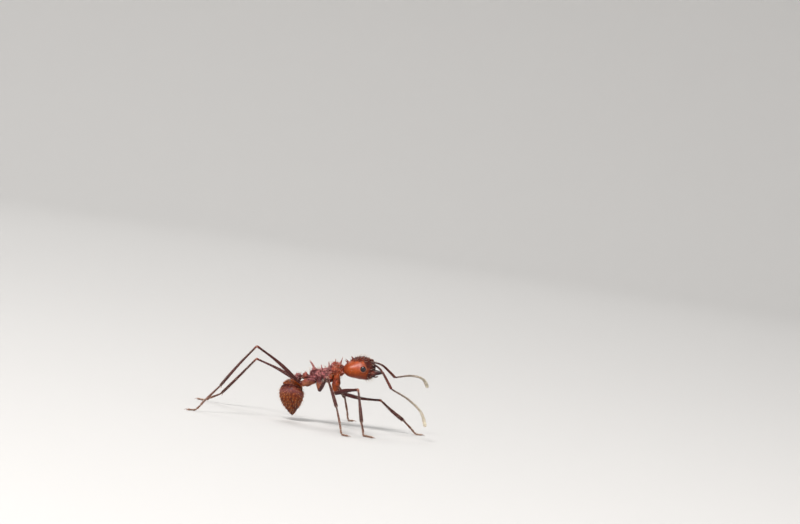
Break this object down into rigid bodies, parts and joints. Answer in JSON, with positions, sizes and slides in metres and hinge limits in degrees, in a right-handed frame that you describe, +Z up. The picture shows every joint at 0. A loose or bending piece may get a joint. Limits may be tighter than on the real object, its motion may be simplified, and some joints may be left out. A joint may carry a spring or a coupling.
{
  "type": "leafcutter ant",
  "caption": "Life-size still model of a leafcutter ant worker: spiny thorax, raised head with open mandibles, elbowed antennae, hanging teardrop gaster, long legs flat on the floor.",
  "frame": {"origin": "on the floor, under the middle of the box round the whole ant", "axes": "+X towards the head, +Y to the ant's left, +Z up from the floor"},
  "size_m": [0.0192, 0.0152, 0.0061],
  "materials": {
    "head_cuticle": "glossy amber-orange with a dark red rough crown",
    "thorax_cuticle": "rough reddish brown, satin",
    "gaster_cuticle": "granular reddish brown with paler orange patches, satin",
    "leg_cuticle": "maroon brown with amber coxae, satin",
    "antenna_cuticle": "brown, paler and downy towards the tip",
    "mandible_cuticle": "glossy dark brown with a black edge",
    "eye": "glossy black with fine facets",
    "bristle": "pale translucent hairs"
  },
  "bodies": {
    "root": {"head": "head_cuticle", "eye_right": "eye", "mandible_right": "mandible_cuticle", "antenna_right_scape": "antenna_cuticle", "antenna_right_funiculus": "antenna_cuticle", "eye_left": "eye", "mandible_left": "mandible_cuticle", "antenna_left_scape": "antenna_cuticle", "antenna_left_funiculus": "antenna_cuticle", "thorax": "thorax_cuticle", "petiole": "thorax_cuticle", "postpetiole": "thorax_cuticle", "gaster": "gaster_cuticle", "leg_right_fore_coxa": "leg_cuticle", "leg_right_fore_femur": "leg_cuticle", "leg_right_fore_tibia": "leg_cuticle", "leg_right_fore_tarsus": "leg_cuticle", "leg_right_mid_coxa": "leg_cuticle", "leg_right_mid_femur": "leg_cuticle", "leg_right_mid_tibia": "leg_cuticle", "leg_right_mid_tarsus": "leg_cuticle", "leg_right_hind_coxa": "leg_cuticle", "leg_right_hind_femur": "leg_cuticle", "leg_right_hind_tibia": "leg_cuticle", "leg_right_hind_tarsus": "leg_cuticle", "leg_left_fore_coxa": "leg_cuticle", "leg_left_fore_femur": "leg_cuticle", "leg_left_fore_tibia": "leg_cuticle", "leg_left_fore_tarsus": "leg_cuticle", "leg_left_mid_coxa": "leg_cuticle", "leg_left_mid_femur": "leg_cuticle", "leg_left_mid_tibia": "leg_cuticle", "leg_left_mid_tarsus": "leg_cuticle", "leg_left_hind_coxa": "leg_cuticle", "leg_left_hind_femur": "leg_cuticle", "leg_left_hind_tibia": "leg_cuticle", "leg_left_hind_tarsus": "leg_cuticle"}
  },
  "joints": []
}
